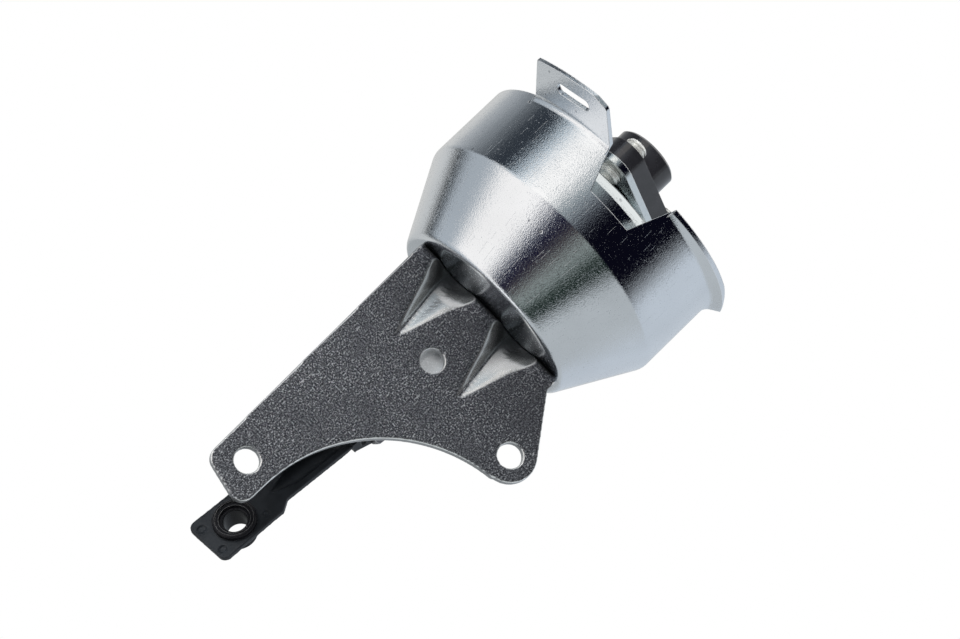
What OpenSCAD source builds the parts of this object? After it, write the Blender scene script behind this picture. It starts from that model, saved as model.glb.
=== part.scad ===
// Vacuum actuator for a variable turbocharger.
// A diaphragm capsule in a deep-drawn can pulls a rod along the can's axis.
// The origin is midway between the bracket's two bolt holes, on its front face.
// Z runs along the can's axis and the rod points down.

/* [Bracket] */
// Distance across between the two bolt holes
bolt_dx = 35.8; // [33.8:0.2:38.8]
// Height of the upper bolt hole above the lower one
bolt_dz = 39.4; // [37.4:0.2:42.4]
// Diameter of the bolt holes
bolt_d = 5.3; // [4.5:0.1:6.5]
// Diameter of the gauge hole in front of the rod
gauge_d = 5.1; // [4:0.1:6.5]
// Depth of the gauge hole below the can's seat
gauge_drop = 16.9; // [14:0.1:18]
// Thickness of the bracket's sheet
plate_t = 2.5; // [2:0.1:3]
// Outer radius of the fold under the can
fold_r = 4; // [3.2:0.1:5]
// Width of the fold to the left of the rod's axis
fold_left = 18.6; // [17.6:0.1:20]
// Width of the fold to the right of the rod's axis
fold_right = 20.4; // [18:0.1:22]
// Radius of the round end at the upper bolt hole
lobe_r = 5.6; // [5:0.1:7]
// Radius of the round cut-out that clears the turbocharger
relief_r = 34.6; // [33:0.1:37]
// Width of sheet left of the lower bolt hole's centre
foot_left = 6.2; // [5.6:0.1:7]
// Width of sheet right of the lower bolt hole's centre
foot_right = 6.1; // [5.4:0.1:7.5]
// Depth of sheet below the lower bolt hole's centre
foot_drop = 8; // [6.5:0.1:10]

/* [Darts in the fold] */
// Length of a pressed dart down the plate
dart_len = 19.8; // [14:0.2:24]
// Half the width of a dart at the can's seat
dart_half_w = 6.5; // [4:0.1:7.5]
// Depth of a dart at the can's seat
dart_depth = 5; // [3:0.1:6]
// Distance of each dart from the rod's axis
dart_x = 8.8; // [8:0.1:10]

/* [Can] */
// Outer radius of the can's bottom
can_bottom_r = 21.4; // [20.4:0.1:22.4]
// Outer radius of the can's collar
can_r = 30.65; // [30:0.05:32]
// Height of the ridge between cone and collar
ridge_z = 17.6; // [16.5:0.1:18]
// Height of the can's plain rim
rim_z = 35.4; // [34:0.1:37]
// Thickness of the can's sheet
can_t = 0.9; // [0.8:0.05:1.1]
// Radius of the can's bottom corner
bottom_corner_r = 2; // [1.5:0.1:4]
// Radius of the ridge
ridge_r = 2.5; // [1.5:0.1:5]

/* [Rim of the can] */
// Width of the notch at the rim
notch_mouth = 18; // [14:0.5:19]
// Width of the notch at its bottom
notch_base = 10.6; // [6:0.2:13]
// Depth of the notch
notch_depth = 10; // [6:0.1:11]
// How far the lip flares out past the collar
lip_out = 3; // [2:0.1:4]
// How far the lip rises above the rim
lip_up = 1.3; // [0.6:0.1:2.4]
// Angle where the lip starts beside the notch
lip_from = 114; // [114:1:130]
// Angle where the lip ends behind
lip_to = 176; // [160:1:200]
// Width of the slotted tab at its fold
tab_w = 21.6; // [18:0.1:22]
// Length of the tab outwards from the collar
tab_len = 9.8; // [8:0.1:12]
// Rise of the tab above level, in degrees
tab_rise = 16; // [0:1:20]
// Length of the slot in the tab
slot_len = 9; // [5:0.1:12]
// Width of the slot in the tab
slot_w = 2.6; // [2.2:0.1:4]

/* [Capsule] */
// Thickness of the capsule's sheet
shell_t = 1; // [0.8:0.05:1.1]
// Space between the capsule's rolled ring and the can
ring_room = 1; // [0.7:0.1:1.4]
// Width of the capsule's clamped flanges
clamp_w = 2.6; // [2.2:0.1:3]
// Height of the lower flange's underside
clamp_z = 19; // [18.6:0.1:20]
// Thickness of the diaphragm's bead
bead_t = 2; // [1.5:0.1:2.5]
// Thickness of the rubber diaphragm
rubber_t = 0.9; // [0.6:0.05:1.1]
// Height of the cover's shoulder
shoulder_z = 32; // [30:0.1:33]
// Radius of the raised pad on the cover
pad_r = 7.8; // [7.4:0.1:8]
// Height of the raised pad above the can's seat
pad_z = 37.9; // [37.4:0.1:39]

/* [Port] */
// Distance of each ear's screw from the axis
ear_d = 12.3; // [12:0.1:14]
// Radius of each ear
ear_r = 4.6; // [4:0.1:5]
// Turn of the front ear to the left, in degrees
ear_turn = 11; // [0:1:30]
// Thickness of the ear plate
ear_t = 1.5; // [1.2:0.1:2]
// Thickness of the port body's flange
port_flange_t = 4; // [3:0.1:5]
// Diameter of the port's round boss
boss_d = 14.2; // [12:0.1:15]
// Height of the boss above the flange
boss_h = 6.9; // [4:0.1:9]
// Diameter of the hose socket in the boss
socket_d = 8; // [6:0.1:9]
// Depth of the hose socket
socket_depth = 8; // [4:0.1:8.4]
// Diameter of the air passage into the capsule
passage_d = 3; // [2:0.1:4]
// Diameter of the set screws
screw_d = 5; // [4:0.1:5.4]
// Length of the set screws
screw_len = 9.6; // [8.5:0.1:12]
// How far the set screws stand above the flange
screw_proud = 2; // [0.5:0.1:3]

/* [Piston and spring] */
// Space between the piston cup and the capsule's outer wall
roll_w = 10.2; // [9.6:0.1:11.4]
// Height of the piston cup
cup_h = 8; // [5:0.1:10]
// Thickness of the piston cup and washer
cup_t = 1.2; // [0.9:0.1:1.5]
// Diameter of the spring's wire
wire_d = 2; // [1.4:0.1:2.2]
// Space between the spring and the piston cup's wall
coil_gap = 1.8; // [1.4:0.1:2.2]
// Number of turns of the spring
coil_turns = 6; // [4:1:7]

/* [Rod] */
// Diameter of the rod
rod_d = 6; // [5:0.1:6.5]
// Running gap round the rod in its bush
rod_gap = 0.05; // [0.02:0.01:0.09]
// Travel of the rod under full vacuum
stroke = 12; // [8:0.5:13]
// Slant of the rod's lower part, in degrees
rod_tilt = 5.2; // [0:0.2:7]
// Distance of the eye's centre below the can's seat
eye_drop = 66.7; // [61.7:0.5:73.7]

/* [Rod end] */
// Turn of the rod end about the rod, in degrees
end_turn = 28; // [0:2:50]
// Thickness of the rod end's sheet
end_t = 1.2; // [1:0.1:1.5]
// Width of the eye plate
eye_plate_w = 10.2; // [9.8:0.1:12]
// Length of the eye plate below the eye's centre
eye_plate_down = 6.9; // [6.3:0.1:9]
// Length of the eye plate above the eye's centre
eye_plate_up = 8.5; // [7.5:0.1:9]
// Width of the neck with its pressed gutter
neck_w = 6.8; // [6.2:0.1:8]
// Distance from the eye's centre to the end wall
neck_len = 31.4; // [29:0.2:34]
// Outer diameter of the ring in the eye
eye_ring_d = 9.2; // [8.9:0.1:9.6]
// Diameter of the bore for the lever pin
pin_bore_d = 5; // [4:0.1:5.4]

/* [Fasteners] */
// Diameter of the mounting studs
stud_d = 5; // [4:0.1:5.4]
// Distance of the studs from the rod's axis
stud_r = 14.4; // [13.6:0.1:14.6]
// Angle of the studs behind the rod's axis, in degrees
stud_angle = 34; // [28:1:50]
// Clearance round screws and studs in their holes
hole_gap = 0.3; // [0.2:0.05:0.5]

/* [Hidden] */
$fn = 96;

// Place of the rod's axis from the bolt pattern's centre
axis_x = -6.6;
axis_y = 10.5;
seat_z = 38.8;
// Bolt holes, as x and z on the plate
low_hole = [-bolt_dx / 2, -bolt_dz / 2];
high_hole = [bolt_dx / 2, bolt_dz / 2];
// Cuts run past the sheet they go through by this much
over = 1;
// Gap between nested sheets that don't touch
nest_gap = 0.35;
// Sheet of the capsule's rolled ring, and its gap to the flanges it holds
ring_t = 0.8;
ring_gap = 0.15;
// Outer radii of the rolled ring, the clamped flanges and the capsule's wall
ring_r = can_r - can_t - ring_room;
clamp_r = ring_r - ring_t - ring_gap;
shell_r = clamp_r - clamp_w;
// Radii of the piston cup and of the spring's coil
cup_r = shell_r - roll_w;
coil_r = cup_r - cup_t - wire_d / 2 - coil_gap;
// Steps in the arc of a pressed corner
arc_steps = 6;

// Unit vector along v
function unit(v) = v / norm(v);
// Vector v turned left by a quarter turn
function left_of(v) = [-v[1], v[0]];
// Points of list p from last to first
function backwards(p) = [for (i = [len(p) - 1:-1:0]) p[i]];

// Points that round the corner c between points a and b with radius r
function corner(a, c, b, r) = r <= 0 ? [c] :
    let (u = unit(a - c), v = unit(b - c), half = acos(u * v) / 2,
        m = c + unit(u + v) * r / sin(half),
        s = c + u * r / tan(half) - m, e = c + v * r / tan(half) - m,
        a0 = atan2(s[1], s[0]), turn = atan2(s[0] * e[1] - s[1] * e[0], s * e))
    [for (k = [0:arc_steps]) m + r * [cos(a0 + turn * k / arc_steps), sin(a0 + turn * k / arc_steps)]];
// Open path through points p, each corner rounded with its radius in r
function round_path(p, r) = [for (i = [0:len(p) - 1])
    each (i == 0 || i == len(p) - 1) ? [p[i]] : corner(p[i - 1], p[i], p[i + 1], r[i])];
// Closed outline through points p, each corner rounded with its radius in r
function round_loop(p, r) = let (n = len(p))
    [for (i = [0:n - 1]) each corner(p[(i + n - 1) % n], p[i], p[(i + 1) % n], r[i])];
// Path p moved to its left by t
function beside(p, t) = let (n = len(p) - 1) [for (i = [0:n])
    let (d1 = unit(p[max(i, 1)] - p[max(i, 1) - 1]), d2 = unit(p[min(i + 1, n)] - p[min(i + 1, n) - 1]),
        m = unit(left_of(d1) + left_of(d2)))
    p[i] + m * t / (m * left_of(d1))];
// Outline of a sheet of thickness t on the left of path p
function sheet(p, t) = concat(p, backwards(beside(p, t)));

// Moves its children to the rod's axis, at the can's seat
module on_axis() translate([axis_x, axis_y, seat_z]) children();
// Turns its children so that their x axis points to an angle on the rim.
// The angle runs from the left side, over the front, to the right side.
module at_rim(angle) rotate(180 + angle) children();
// Sheet pressed round the axis
module pressed(path, t) rotate_extrude() polygon(sheet(path, t));
// Plain hexagon nut across flats w, with a hole
module hex_nut(w, h, hole) difference() {
    intersection() {
        cylinder(h = h, r = w / sqrt(3), $fn = 6);
        translate([0, 0, -w * 0.38 + h / 2]) cylinder(h = w * 0.38 + h / 2, r1 = w * 1.02, r2 = w * 0.51);
        mirror([0, 0, 1]) translate([0, 0, -w * 0.38 - h / 2])
            cylinder(h = w * 0.38 + h / 2, r1 = w * 1.02, r2 = w * 0.51);
    }
    translate([0, 0, -over]) cylinder(h = h + 2 * over, d = hole);
}

// Bracket
// Centre of the round cut-out, a little below the lower bolt hole
relief_drop = 0.8;
relief_c = low_hole + [foot_right + relief_r, -relief_drop];
// Point where the cut-out meets the round end
lobe_meet = high_hole + lobe_r * unit(relief_c - high_hole);
// Radius of the foot's corners and rise of its lower edge towards the left
foot_r = 2.8;
foot_rise = 2.8;
// Point where the right edge leaves the fold
shoulder_p = [axis_x + fold_right, seat_z - fold_r];
// Point where a line from shoulder_p touches the round end
lobe_reach = norm(high_hole - shoulder_p);
lobe_touch = let (d = unit(high_hole - shoulder_p), a = acos(lobe_r / lobe_reach))
    high_hole + lobe_r * [-d[0] * cos(a) - d[1] * sin(a), -d[1] * cos(a) + d[0] * sin(a)];

module plate_outline() difference() {
    union() {
        polygon(round_loop(
            [[axis_x - fold_left, seat_z - fold_r], low_hole + [-foot_left, -foot_drop + foot_rise],
                low_hole + [foot_right, -foot_drop], low_hole + [foot_right, -relief_drop], relief_c,
                lobe_meet, high_hole, lobe_touch, shoulder_p],
            [0, foot_r, foot_r, 0, 0, 0, 0, 0, 0]));
        translate(high_hole) circle(lobe_r);
    }
    translate(relief_c) circle(relief_r, $fn = 192);
    for (p = [low_hole, high_hole]) translate(p) circle(d = bolt_d);
    translate([axis_x, seat_z - gauge_drop]) circle(d = gauge_d);
}

// Space inside the fold's outer face
module inside_fold(reach, drop) rotate([90, 0, 90]) linear_extrude(fold_left + fold_right) polygon(
    round_loop([[0, 0], [0, -drop], [reach, -drop], [reach, 0]], [fold_r, 0, 0, 0]));

dart_w_angle = atan(dart_half_w / dart_len);
dart_d_angle = atan(dart_depth / dart_len);
dart_cone = atan((1 - cos(dart_w_angle) * cos(dart_d_angle)) / (cos(dart_w_angle) * sin(dart_d_angle)));

// Cone of a dart with its tip on the plate, grown outwards by t
module dart(t) translate([0, 0, -dart_len]) rotate([dart_cone - dart_d_angle, 0, 0])
    translate([0, 0, -t / sin(dart_cone)]) let (h = dart_len + over + t / sin(dart_cone))
    cylinder(h = h, r1 = 0, r2 = h * tan(dart_cone));

module at_darts() for (side = [-1, 1]) translate([axis_x + side * dart_x, 0, seat_z]) children();

// A dart's back starts this deep in the sheet
sheet_lap = 0.4;
flange_r = 18;
guide_r = 6;

// Outline of the flange under the can, straight at the fold and round behind
module flange_outline() {
    translate([axis_x - fold_left, fold_r]) square([fold_left + fold_right, axis_y - fold_r]);
    translate([axis_x, axis_y]) intersection() {
        circle(flange_r);
        translate([-flange_r, 0]) square([2 * flange_r, flange_r]);
    }
}

module bracket() color([0.27, 0.28, 0.30]) difference() {
    union() {
        rotate([90, 0, 0]) mirror([0, 0, 1]) linear_extrude(plate_t) plate_outline();
        translate([axis_x - fold_left, fold_r, seat_z - fold_r]) rotate([90, 0, 90])
            rotate_extrude(angle = 90, start = 90) translate([fold_r - plate_t, 0])
            square([plate_t, fold_left + fold_right]);
        translate([0, 0, seat_z - plate_t]) linear_extrude(plate_t) flange_outline();
        intersection() {
            translate([axis_x - fold_left, sheet_lap, seat_z - sheet_lap])
                inside_fold(axis_y, dart_len + plate_t);
            at_darts() dart(plate_t);
        }
    }
    at_darts() dart(0);
    on_axis() {
        translate([0, 0, -plate_t - over]) cylinder(h = plate_t + 2 * over, r = guide_r + hole_gap);
        at_studs() translate([0, 0, -plate_t - over])
            cylinder(h = plate_t + 2 * over, d = stud_d + 2 * hole_gap);
    }
}

// Can
vent_d = 4;
module at_studs() for (side = [-1, 1])
    rotate(90 - side * (90 - stud_angle)) translate([stud_r, 0, 0]) children();
// Openings in the bottoms of can and pan for bush, studs and air
module bottom_holes() translate([0, 0, -over]) {
    cylinder(h = 4 * over, r = guide_r + hole_gap);
    at_studs() cylinder(h = 4 * over, d = stud_d + 2 * hole_gap);
    translate([0, stud_r, 0]) cylinder(h = 4 * over, d = vent_d);
}

// The lip bends this far below the rim, with this radius
lip_bend = 0.6;
lip_bend_r = 2.4;
lip_low = rim_z - lip_bend - lip_bend_r;
can_path = round_path([[1, 0], [can_bottom_r, 0], [can_r, ridge_z], [can_r, rim_z]],
    [0, bottom_corner_r, ridge_r, 0]);
lip_path = round_path([[can_r, lip_low - over], [can_r, rim_z - lip_bend],
    [can_r + lip_out, rim_z + lip_up]], [0, lip_bend_r, 0]);
tab_fold_r = 1.6;
tab_angle = 60.5;
// Height of the tab's fold, a little below the rim
tab_z = rim_z - 0.8;
tab_path = round_path([[can_r, tab_z - 5], [can_r, tab_z], [can_r + tab_len, tab_z + tab_len * tan(tab_rise)]],
    [0, tab_fold_r, 0]);
notch_angle = 96.5;
// Angle where the lip reaches furthest out, and how far its edge is shifted there
lip_full = 195;
lip_shift = 2.9;
// Half the angle of the gap in the collar for the tab, with a relief beside it
tab_half_angle = asin(tab_w / 2 / can_r) + 1.5;
// Reach of the cuts and clips at the rim
rim_reach = tab_len * 1.25;

// Outline of the tab seen from above, with x pointing outwards
module tab_outline() difference() {
    polygon(round_loop([[can_r - 5, -tab_w / 2], [can_r + tab_len - 0.4, -tab_w / 2 + 0.3],
        [can_r + tab_len, tab_w / 2 - 6], [can_r + tab_len - 2.1, tab_w / 2 - 1.8],
        [can_r - 5, tab_w / 2]], [0, 1.6, 2, 1, 0]));
    for (side = [-1, 1]) translate([can_r + tab_len * 0.56, side * (slot_len - slot_w) / 2])
        circle(d = slot_w);
    translate([can_r + tab_len * 0.56, 0]) square([slot_w, slot_len - slot_w], center = true);
}

// Ring sector above height z between two rim angles
module sector(z, from, to) at_rim(from) rotate_extrude(angle = to - from)
    translate([can_r - rim_reach / 3, z]) square(rim_reach);

// Cuts the lip back to a round edge that leaves the collar slowly, from the notch backwards
module lip_trim() difference() {
    sector(rim_z - lip_bend, lip_from - 1, lip_to + 1);
    at_rim(lip_full) translate([lip_shift, 0, lip_low]) cylinder(h = 2 * rim_reach, r = can_r + can_t / 3);
}

module outer_can() color([0.80, 0.82, 0.84]) on_axis() difference() {
    union() {
        difference() {
            pressed(can_path, can_t);
            sector(lip_low, lip_from, lip_to);
            sector(tab_z - tab_fold_r, tab_angle - tab_half_angle, notch_angle);
        }
        difference() {
            at_rim(lip_from) rotate_extrude(angle = lip_to - lip_from) polygon(sheet(lip_path, can_t));
            lip_trim();
        }
        intersection() {
            pressed(tab_path, can_t);
            at_rim(tab_angle) translate([0, 0, tab_z - tab_fold_r - over])
                linear_extrude(rim_reach) tab_outline();
        }
    }
    at_rim(notch_angle) rotate([90, 0, 90]) linear_extrude(can_r + over) polygon([
        [-notch_base / 2, rim_z - notch_depth], [notch_base / 2, rim_z - notch_depth],
        [notch_mouth / 2, rim_z], [notch_mouth / 2, rim_z + 8], [-notch_mouth / 2, rim_z + 8],
        [-notch_mouth / 2, rim_z]]);
    bottom_holes();
}

// Capsule
cone_angle = atan((can_r - can_bottom_r) / ridge_z);
// Radius of the pan's outer face at height z
function pan_cone(z) = can_bottom_r + z * tan(cone_angle) - (can_t + nest_gap) / cos(cone_angle);
cone_top_z = (shell_r - pan_cone(0)) / tan(cone_angle);
bead_z = clamp_z + shell_t;
cover_z = bead_z + bead_t;

module lower_pan() color([0.72, 0.73, 0.74]) on_axis() difference() {
    pressed(round_path([[1, can_t], [pan_cone(can_t), can_t], [shell_r, cone_top_z],
        [shell_r, clamp_z], [clamp_r, clamp_z]], [0, 2.2, 2, 0.8, 0]), shell_t);
    bottom_holes();
}

// Height of the cover's crown, and the radii of its flat ring over the spring
crown_z = 34;
crown_r = pad_r + 1.4;
seat_r = coil_r + wire_d + 1;
shoulder_r = 4;
crown_bend_r = 6;

module upper_cover() color([0.78, 0.80, 0.80]) on_axis() difference() {
    pressed(round_path([[clamp_r, cover_z + shell_t], [shell_r, cover_z + shell_t],
        [shell_r, shoulder_z], [seat_r, crown_z], [crown_r, crown_z], [pad_r, pad_z], [0.5, pad_z]],
        [0, 0.8, shoulder_r, crown_bend_r, 0.8, 1.2, 0]), shell_t);
    cylinder(h = pad_z + over, d = passage_d);
}

module crimp_ring() color([0.74, 0.75, 0.76]) on_axis() pressed(round_path(
    [[shell_r + 0.8, clamp_z - ring_t], [ring_r, clamp_z - ring_t],
        [ring_r, cover_z + shell_t + ring_t], [shell_r + 0.8, cover_z + shell_t + ring_t]],
    [0, ring_t + 0.1, ring_t + 0.1, 0]), ring_t);

// Piston, from the bush's flange upwards
bush_flange_t = 2;
bush_top = can_t + shell_t + bush_flange_t;
stop_gap = 0.3;
washer_z = bush_top + stop_gap;
rubber_z = washer_z + cup_t;
cup_z = rubber_z + rubber_t;
rivet_d = 4.6;
rivet_gap = 0.05;

module diaphragm() color([0.10, 0.10, 0.11]) on_axis() rotate_extrude() union() {
    polygon(sheet(round_path([[rivet_d / 2 + rivet_gap, rubber_z], [cup_r + 2.2, rubber_z],
        [cup_r + 2.2, clamp_z - 3], [shell_r - shell_t - 3.4, clamp_z - 3],
        [shell_r - shell_t - 3.4, bead_z], [clamp_r - 1, bead_z]],
        [0, 1.6, 1.4, 1.4, 1.2, 0]), rubber_t));
    translate([shell_r - shell_t + 0.6, bead_z]) square([clamp_r - shell_r + shell_t - 0.8, bead_t]);
}

module piston_cup() color([0.70, 0.71, 0.72]) on_axis() pressed(round_path(
    [[rivet_d / 2 + rivet_gap, cup_z], [cup_r, cup_z], [cup_r, cup_z + cup_h]],
    [0, 2, 0]), cup_t);

module piston_washer() color([0.70, 0.71, 0.72]) on_axis() difference() {
    translate([0, 0, washer_z]) cylinder(h = cup_t, r = cup_r - 2);
    translate([0, 0, washer_z - over]) cylinder(h = cup_t + 2 * over, r = rivet_d / 2 + rivet_gap);
}

// Spring
spring_gap = 0.1;
spring_low = cup_z + cup_t + spring_gap;
spring_high = crown_z - shell_t - spring_gap;
spring_sides = 8;
spring_steps = 20;
// Ring of points round the wire at turn t of the coil
function wire_ring(t) = let (
    pitch = (spring_high - spring_low - 3 * wire_d) / (coil_turns - 2),
    z = spring_low + wire_d / 2 + wire_d * min(t, 1)
        + pitch * min(max(t - 1, 0), coil_turns - 2) + wire_d * max(t - coil_turns + 1, 0))
    [for (k = [0:spring_sides - 1]) let (a = 360 * k / spring_sides, r = coil_r + wire_d / 2 * cos(a))
        [r * cos(360 * t), r * sin(360 * t), z + wire_d / 2 * sin(a)]];

module return_spring() color([0.55, 0.56, 0.58]) on_axis() let (
    n = coil_turns * spring_steps, m = spring_sides)
    polyhedron(
        points = [for (i = [0:n]) each wire_ring(i / spring_steps)],
        faces = concat([[for (k = [0:m - 1]) k]], [[for (k = [0:m - 1]) n * m + m - 1 - k]],
            [for (i = [0:n - 1], k = [0:m - 1])
                [i * m + k, (i + 1) * m + k, (i + 1) * m + (k + 1) % m, i * m + (k + 1) % m]]));

// Port
seal_r = 0.65;
seal_mean_r = 4.6;
ear_top = pad_z + ear_t;

module at_ears() for (k = [0:2]) at_rim(90 - ear_turn + 120 * k) translate([ear_d, 0, 0]) children();
// Outline with three ears, straight between them
module ear_outline() {
    at_ears() circle(ear_r);
    polygon([for (k = [0:2], side = [-1, 1]) let (a = 270 - ear_turn + 120 * k)
        ear_d * [cos(a), sin(a)] + ear_r * [cos(a + 60 * side), sin(a + 60 * side)]]);
}

module port_plate() color([0.76, 0.78, 0.78]) on_axis() translate([0, 0, pad_z]) difference() {
    linear_extrude(ear_t) ear_outline();
    translate([0, 0, -over]) {
        cylinder(h = ear_t + 2 * over, d = passage_d);
        at_ears() cylinder(h = ear_t + 2 * over, d = screw_d + 0.1);
    }
}

module port_body() color([0.05, 0.05, 0.055]) on_axis() translate([0, 0, ear_top]) difference() {
    union() {
        linear_extrude(port_flange_t) ear_outline();
        cylinder(h = port_flange_t + boss_h - 0.5, d = boss_d);
        translate([0, 0, port_flange_t + boss_h - 0.5]) cylinder(h = 0.5, d1 = boss_d, d2 = boss_d - 1);
    }
    translate([0, 0, port_flange_t + boss_h - socket_depth]) cylinder(h = socket_depth + over, d = socket_d);
    translate([0, 0, -over]) {
        cylinder(h = port_flange_t + boss_h, d = passage_d);
        at_ears() cylinder(h = port_flange_t + 2 * over, d = screw_d + 2 * hole_gap);
    }
    rotate_extrude() translate([seal_mean_r - seal_r - 0.1, -over])
        square([2 * seal_r + 0.2, 2 * seal_r + over]);
}

module port_seal() color([0.08, 0.08, 0.08]) on_axis() translate([0, 0, ear_top + seal_r])
    rotate_extrude() translate([seal_mean_r, 0]) circle(seal_r, $fn = 32);

module port_screws() color([0.82, 0.82, 0.80]) on_axis() at_ears()
    translate([0, 0, ear_top + port_flange_t + screw_proud - screw_len]) difference() {
        union() {
            cylinder(h = 0.5, d1 = screw_d - 1, d2 = screw_d);
            translate([0, 0, 0.5]) cylinder(h = screw_len - 1, d = screw_d);
            translate([0, 0, screw_len - 0.5]) cylinder(h = 0.5, d1 = screw_d, d2 = screw_d - 1);
        }
        translate([0, 0, screw_len - screw_d * 0.5])
            cylinder(h = screw_d, r = screw_d * 0.25 / cos(30), $fn = 6);
    }

// Guide, wiper, studs
bush_low = -plate_t - 2;
wiper_h = 1.8;
wiper_r = rod_d / 2 + 1.7;

module guide_bush() color([0.62, 0.52, 0.36]) on_axis() difference() {
    union() {
        translate([0, 0, bush_low]) cylinder(h = bush_top - bush_low, r = guide_r);
        translate([0, 0, can_t + shell_t]) cylinder(h = bush_flange_t, r = guide_r + 2);
    }
    translate([0, 0, bush_low - over]) cylinder(h = bush_top - bush_low + 2 * over, r = rod_d / 2 + rod_gap);
    translate([0, 0, bush_low - over]) cylinder(h = wiper_h + over, r = wiper_r);
}

module rod_wiper() color([0.07, 0.07, 0.07]) on_axis() translate([0, 0, bush_low]) difference() {
    cylinder(h = wiper_h, r = wiper_r);
    translate([0, 0, -over]) cylinder(h = wiper_h + 2 * over, r = rod_d / 2 + rod_gap);
}

stud_head_t = 1.4;
stud_head_r = 4;
washer_t = 1;
washer_r = stud_d;
nut_h = 4;
stud_low = -plate_t - washer_t - nut_h - 1.8;

module mounting_studs() color([0.75, 0.76, 0.76]) on_axis() at_studs() {
    translate([0, 0, stud_low]) cylinder(h = can_t + shell_t - stud_low, d = stud_d);
    translate([0, 0, can_t + shell_t]) cylinder(h = stud_head_t, r = stud_head_r);
}

module stud_washers() color([0.78, 0.79, 0.79]) on_axis() at_studs()
    translate([0, 0, -plate_t - washer_t]) difference() {
        cylinder(h = washer_t, r = washer_r);
        translate([0, 0, -over]) cylinder(h = washer_t + 2 * over, d = stud_d + 0.4);
    }

module stud_nuts() color([0.78, 0.79, 0.79]) on_axis() at_studs()
    translate([0, 0, -plate_t - washer_t - nut_h]) hex_nut(stud_d * 1.6, nut_h, stud_d + 0.1);

// Rod
// The rod is straight in its guide over the whole stroke, then bends aside.
bend_r = 24;
bend_z = bush_low - stroke - 1.5;
tail_len = (eye_drop + bend_z - bend_r * sin(rod_tilt)) / cos(rod_tilt);

// Frame at the end of the rod's bend, with z still up along the rod
module on_tail() on_axis() translate([-bend_r, 0, bend_z]) rotate([0, rod_tilt, 0])
    translate([bend_r, 0, 0]) children();
// Frame at the eye's centre, with y pointing back through the eye plate
module on_eye() on_tail() translate([0, 0, -tail_len]) rotate(-end_turn) children();
rod_stop = tail_len - neck_len - end_t;
// The tail runs this far into the bend, so that the two are one solid
joint_lap = 0.02;

module rod() color([0.76, 0.77, 0.78]) union() {
    on_axis() {
        translate([0, 0, bend_z]) cylinder(h = washer_z - bend_z, d = rod_d);
        translate([0, 0, washer_z]) cylinder(h = cup_z + cup_t - washer_z, d = rivet_d);
        translate([0, 0, cup_z + cup_t]) cylinder(h = 1.6, d1 = rivet_d + 3.4, d2 = rivet_d + 1);
        translate([-bend_r, 0, bend_z]) rotate([90, 0, 0]) rotate_extrude(angle = -rod_tilt)
            translate([bend_r, 0]) circle(d = rod_d);
    }
    on_tail() translate([0, 0, -rod_stop - end_t - 0.8])
        cylinder(h = rod_stop + end_t + 0.8 + joint_lap, d = rod_d);
}

lock_nut_h = rod_d * 0.8;
module lock_nut() color([0.78, 0.79, 0.79]) on_tail() translate([0, 0, -rod_stop])
    hex_nut(rod_d * 1.67, lock_nut_h, rod_d + 0.1);

// Rod end
// Reach of the end wall in front of the rod, clear of the bracket behind which it slides
end_wall_front = 4.2;
half_eye = eye_plate_w / 2;
half_neck = neck_w / 2;
face_y = -end_t / 2;
// Heights where the gutter starts and where it has its full depth
gutter_low = eye_plate_up + 0.5;
gutter_full = eye_plate_up + 6.5;
// Height where the neck widens to the socket round the rod's end, and the socket's inner depth
socket_z = neck_len - 3.2;
socket_y = rod_d / 2 + 0.3;

// Outline of eye plate and neck from the front: x across, y up along the rod
module end_outline() polygon(round_loop([
    [-half_eye, -eye_plate_down], [half_eye, -eye_plate_down], [half_eye, eye_plate_up],
    [half_neck, eye_plate_up + 2.4], [half_neck, socket_z + end_t / 2],
    [-half_neck, socket_z + end_t / 2], [-half_neck, eye_plate_up + 2.4], [-half_eye, eye_plate_up]],
    [1.3, 1.3, 0.8, 0.8, 0, 0, 0.8, 0.8]));

// Body of the gutter with radius r, running out on the plate in a cone
module gutter(r, top) translate([0, face_y, 0]) let (run = (gutter_full - gutter_low) * r / (half_neck - end_t)) {
    translate([0, 0, gutter_full - run]) cylinder(h = run, r1 = 0, r2 = r);
    translate([0, 0, gutter_full]) cylinder(h = top - gutter_full, r = r);
}

// Socket with slanted shoulders, from the front: x across, y up along the rod
module socket_outline(t) polygon([
    [-half_neck - 0.3 + t, socket_z + t], [half_neck + 0.3 - t, socket_z + t],
    [half_eye - t, socket_z + 2.2], [half_eye - t, neck_len + end_t - t],
    [-half_eye + t, neck_len + end_t - t], [-half_eye + t, socket_z + 2.2]]);

dimple_d = 1.4;
dimple_x = half_eye * 0.61;
dimple_z = 5.6;
eye_hole_r = eye_ring_d / 2 - 0.7;

module rod_end() color([0.07, 0.075, 0.08]) on_eye() difference() {
    union() {
        rotate([90, 0, 0]) translate([0, 0, -end_t / 2]) linear_extrude(end_t) end_outline();
        intersection() {
            gutter(half_neck, socket_z + end_t / 2);
            translate([-half_neck - over, face_y + end_t / 4, 0]) cube([neck_w + 2 * over, neck_w, neck_len]);
        }
        translate([0, socket_y + end_t, 0]) rotate([90, 0, 0])
            linear_extrude(socket_y + end_t * 1.75 + 0.2) socket_outline(0);
        translate([-half_eye, -end_wall_front, neck_len]) cube([eye_plate_w, end_wall_front, end_t]);
    }
    gutter(half_neck - end_t, socket_z + 2 * end_t);
    translate([0, socket_y, 0]) rotate([90, 0, 0]) linear_extrude(2 * socket_y) socket_outline(end_t);
    translate([0, 0, neck_len - over]) cylinder(h = end_t + 2 * over, d = rod_d + 0.1);
    rotate([90, 0, 0]) translate([0, 0, -end_t]) cylinder(h = 2 * end_t, r = eye_hole_r);
    for (x = [-1, 1], z = [-1, 1]) translate([x * dimple_x, -end_t / 2 + 0.4, z * dimple_z])
        rotate([90, 0, 0]) cylinder(h = over, d = dimple_d);
}

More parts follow.
